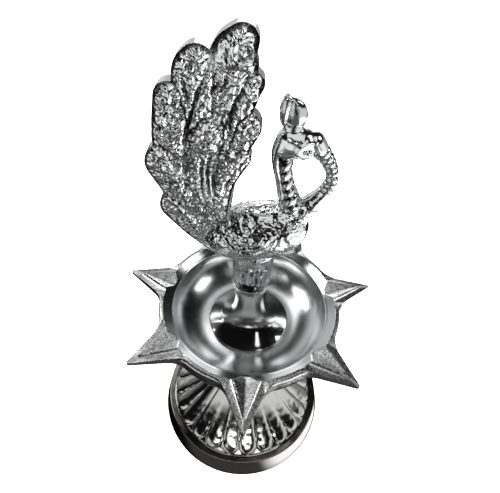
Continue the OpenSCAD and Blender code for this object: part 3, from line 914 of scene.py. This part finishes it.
def tailRelief(x, h, points, look):  # height of the face, painted shade (1 in the dark lines), slow swells
    noises = {name: grain(points, *kind) for name, kind in look.grains.items()}
    wanderX, wanderH = look.wander * noises["wanderX"], look.wander * noises["wanderH"]
    relief = np.full(len(x), -look.dome)
    barbs, shaft, seamShade, ends = np.zeros((4, len(x)))
    for line, forward in feathers:
        half = line[-1][2]
        deep, along, across = featherField(x + wanderX, h + wanderH, smoothLine(line, look.samples))
        tip = ramp(along, along.max() - look.tipLong, along.max() - half)
        dome = look.shaftDome + (look.dome - look.shaftDome) * tip
        share = ramp(deep, 0, look.domeRun * half)
        high = forward - dome * (1 - share) ** 2 + look.edgeFall * np.minimum(deep, 0)
        # painted shade where one feather meets another, and later in the grooves
        joint = np.clip(0.5 + (high - relief) / look.seamWide, 0, 1)
        seamShade = np.maximum(seamShade * (1 - joint), 4 * joint * (1 - joint))
        part = np.clip(0.5 + (high - relief) / look.blend, 0, 1)
        relief += (high - relief) * part + 0.5 * look.blend * part * (1 - part)
        phase = (along - look.barbSlant * np.abs(across)) / look.barbPitch
        ahead = part > 0.5
        barbs = np.where(ahead, np.sin(math.tau * phase), barbs)
        shaft = np.where(ahead, ridge(across, look.shaftWide), shaft)
        ends = np.where(ahead, tip, ends)
    seamShade *= fadeUp(h, look.seamLow, look.seamFade)
    # barbs in patches, shafts between them, and lumps, all weaker on the feather ends
    patches = np.clip(0.3 + 2.0 * noises["patches"], 0, 1)
    marks = look.barbHigh * barbs * patches + look.shaftHigh * shaft * (1 - patches)
    relief += marks * (1 - (1 - look.tipBarbs) * ends)
    lumps = 0.7 * noises["coarse"] + noises["fine"]
    weaker = (1 - (1 - look.tipLumps) * ends) * fadeUp(h, look.lowLumps, look.lumpFade)
    relief += look.lumps * lumps * weaker
    x, h = x + look.lineWander * wanderX, h + look.lineWander * wanderH
    for line in tailLedges:
        relief += look.ledgeHigh * ridge(lineDistance(x, h, line), look.ledgeWide)
    for line in tailGrooves:
        far, along = lineField(x, h, line)
        taper = np.sin(math.pi * np.clip(along, 0.04, 0.96)) ** 0.6
        groove = taper * ridge(far, look.grooveWide * (0.6 + 0.4 * taper))
        relief -= look.grooveDeep * groove
        seamShade = np.maximum(seamShade, groove)
    for spots, lines in ((tailEyes, eyeRidges), (tailBosses, bossRidges)):
        for spotX, spotH, size in spots:
            relief += ridges(np.hypot(x - spotX, h - spotH), lines, size)
    return relief, seamShade, look.swells * noises["swells"]


def makeTail(look):
    lines = [smoothLine(line, look.samples) for line, forward in feathers]
    places = [atDisc(p[:2], p[2], look.plate, look.shift) for line in lines for p in line]
    places += [atDisc(p[:2], p[2], look.under) for p in smoothLine(tailUnder, look.samples)]
    mesh = voxelUnion(copies(roundDisc(), places), look.voxel, look.softness)
    points = meshPoints(mesh)
    facing = meshNormals(mesh)[:, 1]
    x, h = points[:, 0], points[:, 2] - seatZ
    inside = np.max([featherField(x, h, line)[0] for line in lines], axis=0)
    rounding = look.edge * (1 - np.clip(inside / look.edgeWide, 0, 1)) ** 2
    relief, seamShade, swells = tailRelief(x, h, points, look)
    front = (facing < -look.facing) * (inside > 0)
    back = (facing > look.facing) * (inside > 0)
    behind = look.backShare * relief + look.backSwells * swells - look.backEdge * rounding
    points[:, 1] += back * behind
    points[:, 1] -= front * (relief + swells - rounding)
    points[:, 2] = np.minimum(points[:, 2], tailTop)
    setPoints(mesh, points)
    # painted shade along the feather joints and grooves and in the hollows of the skin
    storeValue(mesh, "hollow", np.maximum(seamShade * (front + back), hollowness(mesh, look)))
    dressMesh(mesh, "peacockTail", [cast], "peacock", ["peacock"], 180)


makeTail(named(peacockTail))


# peacock's body, neck and head

peacockBody = {
    "voxel": 0.24, "softness": 6, "samples": 8, "long": 16.5, "wide": 9.3, "high": 25.5, "tilt": 15,
    "neckThick": 3.6, "stub": 6.8, "stubLow": 2.6, "stubTall": 15, "stubFlare": 8.8,
    "flareFrom": 0.7, "stubRows": 40, "rowHalf": 1.2, "boreTop": 7.8, "boreWide": 4,
    "hollowRounds": 14, "hollowDepth": 0.4, "hollowShare": 0.35, "headPale": 0.2,
    # relief, from flank and wing to neck, bill, head and stub
    "wander": 0.5, "sideLimit": 0.25, "flank": (0.2, 0.5),
    "wingAt": (-2.2, 32.0), "wingSlant": 0.25, "wingStep": 2.1, "wingHigh": 0.25, "wingFade": (0, 2),
    "arcsFrom": (4, 5.5), "arcsTo": (10, 8),
    "dimples": 0.16, "dimpleStretch": (0.7, 1, 1.3), "dimpleSlant": 0.2, "dimpleFrom": (25, 28),
    "dimpleUp": (1.1, 0.8),
    "ribPitch": 3.0, "ribHigh": 0.8, "ribSlant": 0.55, "ribFrom": (1.2, 1.8), "ribDark": 0.9,
    "seamPast": 0.6, "seamDeep": 1.1, "seamWide": 0.65, "darkPast": 1.8, "darkTo": (2.0, 1.2),
    "billRibs": 17, "billRib": 0.7, "billSink": 0.8, "billFrom": (0.1, 0.14), "billTo": (0.64, 0.52),
    "loopAt": (13.0, 47.0), "loopFrom": (4.4, 5.2),
    "eyeAt": (11.7, 56.0), "eyeShape": (0.7, 1.3), "browHigh": 0.55, "browWide": 0.45,
    "crestDeep": 0.4, "crestWide": 0.5, "crestDark": 0.3,
    "stubFace": 3, "scratchStretch": (1.5, 1.5, 0.5), "scratchHigh": 0.12, "scratchDark": 0.85,
    "scratchFrom": (-0.12, -0.4), "scratchTo": (5.5, 3.5),
    "slotAt": (-0.7, 4.3), "slotHalf": (4.2, 1.8), "slotUneven": 0.12, "slotEdge": (1.1, 0.85),
    "slotDeep": 1.4,
    "lumps": 0.11, "lumpMix": 0.7, "rugged": 0.4, "ruggedBody": 0.6, "ruggedRump": 0.8,
    "rumpFrom": (0, -8), "smoothHead": 0.25,
    "grains": {  # size and seed of each noise
        "wander": (2.6, 12), "dimples": (0.9, 13), "scratches": (1.0, 21), "slot": (1.0, 22),
        "coarse": (1.4, 5), "fine": (0.7, 6),
    },
    "zones": {  # heights over the seat between which a part of the relief fades in
        "overStub": (15, 18), "underNeck": (41, 38), "neck": (36, 38), "underHead": (55, 53),
        "plainNeck": (50, 52), "head": (52, 53), "underCrest": (61, 60), "crest": (60.5, 62),
        "stub": (15, 14), "smoothHead": (52, 55), "paleHead": (56, 58),
    },
}
# ridges round the wing's boss and the eye, and up the stub
wingRidges = [(0, 0.35, 0.9), (1.9, -0.35, 0.5)]
birdEyeRidges = [(0, 0.4, 0.6), (1.15, -0.5, 0.32)]
stubRidges = [(-0.7, 0.4, 0.35), (-2.3, -0.4, 0.5), (1.2, -0.3, 0.5)]
# middle lines as (x, height over the seat, half width)
neckLine = [(11.5, 31, 4.0), (8.8, 38.5, 3.3), (7.4, 42.8, 2.7), (6.4, 46.5, 2.55), (5.7, 50, 2.8),
            (5.6, 54, 3.2), (6.6, 57.5, 3.4)]
billLine = [(12.8, 57, 3.2), (15.8, 54.3, 2.2), (18.1, 51.1, 1.9), (19.4, 47.6, 1.65),
            (19.2, 44.4, 1.9), (17.6, 41, 2.3), (15.2, 37.4, 3.0), (12, 33, 3.8)]
# the line between the neck's plain and ribbed halves, from below, then the brow and the crest's groove
neckSeam = [(6.2, 40.0), (5.0, 44.0), (4.1, 48.0), (3.7, 52.0), (4.1, 57.0)]
browLine = [(8.6, 55.6), (9.4, 57.6), (11.2, 58.6), (13.2, 58.1), (14.4, 56.4)]
crestGroove = [(6.0, 67.2), (5.7, 65.8), (5.5, 64.4), (5.4, 62.6)]
# eggs as (x, height over the seat), half sizes and tilt: chest, then head and crest
chestEgg = ((8.0, 28.5), (7.8, 7.8, 8.2), 20)
headEggs = [
    ((9.2, 56.6), (5.6, 4.2, 4.2), -4), ((7.2, 60.9), (2.5, 1.9, 1.9), 0),
    ((5.0, 65.1), (1.75, 1.6, 4.3), 2), ((7.5, 64.3), (2.85, 1.75, 3.9), 8),
    ((6.9, 66.2), (3.2, 1.6, 2.1), -30),
]


def bodyForms(look):
    belly = (look.long, look.wide, look.wide)
    forms = [atEgg((0, look.high), belly, look.tilt), atEgg(*chestEgg)]
    for i in range(look.stubRows):  # stub, widening into the belly
        t = i / (look.stubRows - 1)
        wide = look.stub + look.stubFlare * max(0, t - look.flareFrom) ** 2
        forms.append(atEgg((0, look.stubLow + 1.0 + look.stubTall * t), (wide, wide, look.rowHalf)))
    for x, h, wide in smoothLine(neckLine, look.samples) + smoothLine(billLine, look.samples):
        forms.append(atEgg((x, h), (wide, min(wide, look.neckThick), wide)))
    return forms + [atEgg(*egg) for egg in headEggs]


def ellipse(x, h, centre, half):
    return np.hypot((x - centre[0]) / half[0], (h - centre[1]) / half[1])


def bodyRelief(x, h, points, normals, look):  # height over the smooth skin, and the painted shade, 1 in the dark lines
    zone = {name: ramp(h, *limits) for name, limits in look.zones.items()}
    wander = look.wander * grain(points, *look.grains["wander"])
    sideways = np.abs(normals[:, 1])
    side = sideways > look.sideLimit
    onBody = zone["overStub"] * zone["underNeck"]
    onFlank = ramp(sideways, *look.flank) * onBody
    # wing: a boss with a few arcs under it, chisel marks over back and chest
    wingX, wingH = look.wingAt
    wing = np.hypot(x - wingX, h - wingH) + wander
    under = ramp(wingH - h - look.wingSlant * (x - wingX), *look.wingFade)
    arcs = np.cos(math.tau * wing / look.wingStep) * ramp(wing, *look.arcsFrom)
    arcs *= ramp(wing, *look.arcsTo) * under
    relief = (look.wingHigh * arcs + ridges(wing, wingRidges)) * onFlank
    dimples = grain(points * look.dimpleStretch, *look.grains["dimples"])
    dimpled = ramp(h - look.dimpleSlant * x, *look.dimpleFrom) * ramp(normals[:, 2], *look.dimpleUp)
    relief += look.dimples * dimples * dimpled * onBody
    # neck: plain on the left, a deep line, slanting ribs on the right
    seamX, seamH = zip(*neckSeam)
    past = x - np.interp(h, seamH, seamX)
    neckFar = lineDistance(x, h, neckLine)
    billFar, billAlong = lineField(x, h, billLine)
    onNeck = (neckFar < billFar) * zone["neck"] * zone["underHead"] * side
    ribs = bars((h - look.ribSlant * x + wander) / look.ribPitch)
    ribbed = look.ribHigh * (ribs - 1) * ramp(past, *look.ribFrom)
    relief += onNeck * (ribbed - look.seamDeep * ridge(past - look.seamPast, look.seamWide))
    # painted shade between the ribs and along the deep line
    gaps = np.maximum(zone["plainNeck"], 1 - look.ribDark * ribs ** 4)
    dark = onNeck * gaps * ramp(np.abs(past - look.darkPast), *look.darkTo)
    # bill: broad ribs on the outside of its upper half, plain below
    onBill = (billFar < neckFar) * ramp(billAlong, *look.billFrom) * ramp(billAlong, *look.billTo)
    onBill *= ramp(ellipse(x, h, look.loopAt, (1, 1)), *look.loopFrom)
    billBars = bars(billAlong * look.billRibs)
    relief += look.billRib * (billBars - look.billSink) * onBill
    # painted shade between the bill's ribs
    dark = np.maximum(dark, (1 - billBars) * onBill)
    # head: almond eye under a brow, crest split by a groove
    eyeX, eyeH = look.eyeAt
    eyeFar = np.hypot((x - eyeX) * look.eyeShape[0], (h - eyeH) * look.eyeShape[1])
    brow = look.browHigh * ridge(lineDistance(x, h, browLine), look.browWide)
    relief += side * zone["head"] * zone["underCrest"] * (ridges(eyeFar, birdEyeRidges) + brow)
    groove = ridge(lineDistance(x, h, crestGroove), look.crestWide)
    relief -= look.crestDeep * groove * zone["crest"] * side
    # painted shade over the whole crest
    dark = np.maximum(dark, look.crestDark * zone["crest"])
    # stub: cast lines and the slot over the seat
    onStub = zone["stub"] * (np.abs(points[:, 1]) > look.stubFace)
    scratches = grain(points * look.scratchStretch, *look.grains["scratches"])
    relief += onStub * (ridges(x, stubRidges) + look.scratchHigh * scratches)
    scratched = ramp(scratches, *look.scratchFrom) * ramp(np.abs(x), *look.scratchTo)
    dark = np.maximum(dark, look.scratchDark * onStub * scratched)
    slotFar = ellipse(x, h, look.slotAt, look.slotHalf)
    slotFar += look.slotUneven * grain(points, *look.grains["slot"])
    slot = ramp(slotFar, *look.slotEdge) * (points[:, 1] < -look.stubFace)
    relief -= look.slotDeep * slot
    # lumps of the casting: strongest towards the tail, weakest on the head
    lumps = look.lumpMix * (grain(points, *look.grains["coarse"]) + grain(points, *look.grains["fine"]))
    rugged = look.rugged + onBody * (look.ruggedBody + look.ruggedRump * ramp(x, *look.rumpFrom))
    rugged -= look.smoothHead * zone["smoothHead"]
    # the slot is filled with painted shade
    return relief + look.lumps * lumps * rugged, np.maximum(dark, slot)


def makeBody(look):
    mesh = voxelUnion(copies(roundBall(), bodyForms(look)), look.voxel, look.softness)
    points = meshPoints(mesh)
    normals = meshNormals(mesh)
    x, h = points[:, 0].copy(), points[:, 2] - seatZ
    relief, dark = bodyRelief(x, h, points, normals, look)
    points += normals * relief[:, None]
    bore = (np.hypot(x, points[:, 1]) < look.boreWide) & (h < look.stubLow + 1.5)
    points[:, 2] = np.where(bore, seatZ + look.boreTop, points[:, 2])
    setPoints(mesh, points)
    # painted shade in the hollows of the skin, less on the head, joined with the relief's painted shade and
    # dark scratches
    share = look.hollowShare - look.headPale * ramp(h, *look.zones["paleHead"])
    storeValue(mesh, "hollow", np.maximum(dark, hollowness(mesh, look) * share))
    dressMesh(mesh, "peacockBody", [cast], "peacock", ["peacock"], 180)


makeBody(named(peacockBody))


# turned seat under the bird

peacockSeat = {
    "steps": 192, "hole": 3.05, "low": 5.9, "high": 6.9, "tall": 2.7, "edge": 0.25,
    "flareFrom": 0.4, "flareTo": 2.3, "neck": 5.2, "thread": 7.5,
}


def makeSeat(look):
    hole, low, high, edge, neck = look.hole, look.low, look.high, look.edge, look.neck
    top, threadTop = seatZ + look.tall, seatZ + look.thread
    points = [(hole, seatZ), (low - edge, seatZ), (low, seatZ + edge)]
    points += fineLine([(low + 0.02, seatZ + look.flareFrom), (high, seatZ + look.flareTo)], 0.6)
    points += arc((high - edge, top - edge), edge, 0, 90, 4)
    points += [(neck, top), (neck, threadTop), (hole, threadTop)]
    bm = spunProfile(points, look.steps, 12)
    dressBmesh(bm, "peacockSeat", [polish], "peacock", ["peacock"])


makeSeat(named(peacockSeat))


# floor, light and camera

paleFloor = {"colour": 0.86, "glow": 0.85, "rough": 0.8, "radius": 4.0}


def makeFloor(look):
    bm = bmesh.new()
    bmesh.ops.create_uvsphere(bm, u_segments=96, v_segments=48, radius=look.radius)
    for vert in bm.verts:  # flat floor below, plain backdrop all round
        vert.co.z = max(vert.co.z, 0)
    bmesh.ops.dissolve_degenerate(bm, dist=1e-5, edges=bm.edges)
    floor = addObject("floor", meshOf(bm, "floor"))
    material = newMaterial("paleFloor", {
        "Base Color": (look.colour, look.colour, look.colour, 1), "Roughness": look.rough,
        "Emission Color": (1, 1, 1, 1), "Emission Strength": look.glow,
    })[0]
    material.cycles.emission_sampling = "NONE"
    floor.data.materials.append(material)
    floor.visible_glossy = False  # the metal mirrors the dim room below the lamp instead


# soft boxes: compass angle from the back (right is plus), height angle, distance, size and power;
# the close ones have an aim of their own, in metres, and a narrow spread
softBoxes = [
    {"name": "backLow", "turn": 2, "rise": 18, "far": 1.0, "size": (0.50, 0.50), "power": 1.0},
    {"name": "backTop", "turn": -24, "rise": 59, "far": 1.0, "size": (0.52, 0.14), "power": 0.5},
    {"name": "leftBox", "turn": -70, "rise": 46, "far": 0.9, "size": (0.32, 0.32), "power": 2.4},
    {"name": "rightBox", "turn": 84, "rise": 46, "far": 0.9, "size": (0.26, 0.28), "power": 1.3},
    {"name": "frontRight", "turn": 146, "rise": 40, "far": 0.9, "size": (0.12, 0.42), "power": 0.30},
    {"name": "overBird", "turn": 180, "rise": 76, "far": 0.22, "size": (0.14, 0.12), "power": 0.042},
    {"name": "lowStrip", "turn": 176, "rise": 32, "far": 0.173, "size": (0.30, 0.028), "power": 0.013,
     "aim": (0, -0.033, 0.014), "spread": 60},
    {"name": "tailStrip", "turn": -169, "rise": 20, "far": 0.266, "size": (0.30, 0.05), "power": 0.0085,
     "aim": (-0.01, 0, 0.21), "spread": 28},
]
lampMiddle = (0, 0, 0.08)


def makeLights():
    for box in softBoxes:
        lamp = bpy.data.lights.new(box["name"], "AREA")
        lamp.shape = "RECTANGLE"
        lamp.size, lamp.size_y = box["size"]
        lamp.energy = box["power"]
        lamp.spread = math.radians(box.get("spread", 180))
        holder = addObject(box["name"], lamp)
        holder.visible_camera = False
        turn, rise = math.radians(box["turn"]), math.radians(box["rise"])
        out = Vector((math.sin(turn) * math.cos(rise), math.cos(turn) * math.cos(rise), math.sin(rise)))
        holder.location = Vector(box.get("aim", lampMiddle)) + out * box["far"]
        holder.rotation_euler = (-out).to_track_quat("-Z", "Y").to_euler()


# room that the metal mirrors: dim all round, with panels as glow and soft limits on the direction,
# each limit an axis, where the panel ends and where it is full
room = {
    "dim": 0.006,
    "panels": {
        "wallBehind": (0.5, [("X", 0.5, 0.25), ("Y", 0.3, 0.55), ("Z", -0.35, -0.18), ("Z", 0.6, 0.46)]),
        "leftBack": (0.2, [("X", -0.2, -0.45), ("Y", 0.0, 0.25), ("Z", -0.35, -0.2), ("Z", 0.7, 0.6)]),
        "rightBack": (0.3, [("X", 0.3, 0.6), ("Y", 0.0, 0.25), ("Z", -0.35, -0.2), ("Z", 0.25, 0.1)]),
        "brightSide": (0.95, [("X", 0.15, 0.5), ("Y", 0.35, 0.0), ("Z", -0.55, -0.4), ("Z", 0.3, 0.1)]),
        "greySide": (0.9, [("X", -0.1, -0.4), ("Y", -0.25, -0.5), ("Z", -0.5, -0.35), ("Z", 0.3, 0.1)]),
        "tableFront": (0.15, [("Y", -0.2, -0.5), ("Z", -0.25, -0.4), ("Z", -0.9, -0.75)]),
        "floorRight": (4.0, [("X", 0.3, 0.55), ("Y", 0.4, 0.25), ("Z", -0.86, -0.76), ("Z", -0.42, -0.52)]),
    },
}


def combined(tree, operation, first, second):
    node = addNode(tree, "ShaderNodeMath", {"operation": operation})
    for socket, value in zip(node.inputs, (first, second)):
        if isinstance(value, (int, float)):
            socket.default_value = value
        else:
            tree.links.new(value, socket)
    return node.outputs["Value"]


def makeWorld(look):
    world = bpy.data.worlds.new("studio")
    bpy.context.scene.world = world
    world.use_nodes = True
    tree = world.node_tree
    place = addNode(tree, "ShaderNodeTexCoord")
    split = addNode(tree, "ShaderNodeSeparateXYZ", links={"Vector": place.outputs["Generated"]})
    total = look.dim
    for glow, limits in look.panels.values():
        for axis, low, high in limits:
            edge = addNode(tree, "ShaderNodeMapRange",
                           {"interpolation_type": "SMOOTHSTEP", "From Min": low, "From Max": high},
                           {"Value": split.outputs[axis]})
            glow = combined(tree, "MULTIPLY", edge.outputs["Result"], glow)
        total = combined(tree, "ADD", glow, total)
    background = tree.nodes["Background"]
    background.inputs["Color"].default_value = (1, 1, 1, 1)
    wire(tree, background, {"Strength": total})


photoView = {
    "lens": 28.8, "sensor": 36.0, "near": 0.001, "at": (-1.38, -90.81, 199.43), "pitch": 45.3,
    "roll": 4.12,
}


def makeCamera(look):
    pitch, roll = math.radians(look.pitch), math.radians(look.roll)
    ahead = Vector((0, math.cos(pitch), -math.sin(pitch)))
    level = Vector((0, math.sin(pitch), math.cos(pitch)))
    right = Vector((1, 0, 0)) * math.cos(roll) + level * math.sin(roll)
    up = level * math.cos(roll) - Vector((1, 0, 0)) * math.sin(roll)
    lens = bpy.data.cameras.new("photoCamera")
    lens.sensor_fit = "HORIZONTAL"
    lens.sensor_width = look.sensor
    lens.lens = look.lens
    lens.clip_start = look.near
    camera = addObject("photoCamera", lens)
    turn = Matrix((right, up, -ahead)).transposed().to_4x4()
    camera.matrix_world = Matrix.Translation(Vector(look.at) * mm) @ turn
    bpy.context.scene.camera = camera


makeFloor(named(paleFloor))
makeLights()
makeWorld(named(room))
makeCamera(named(photoView))
bpy.context.scene.view_settings.view_transform = "Standard"
print("stage ready")
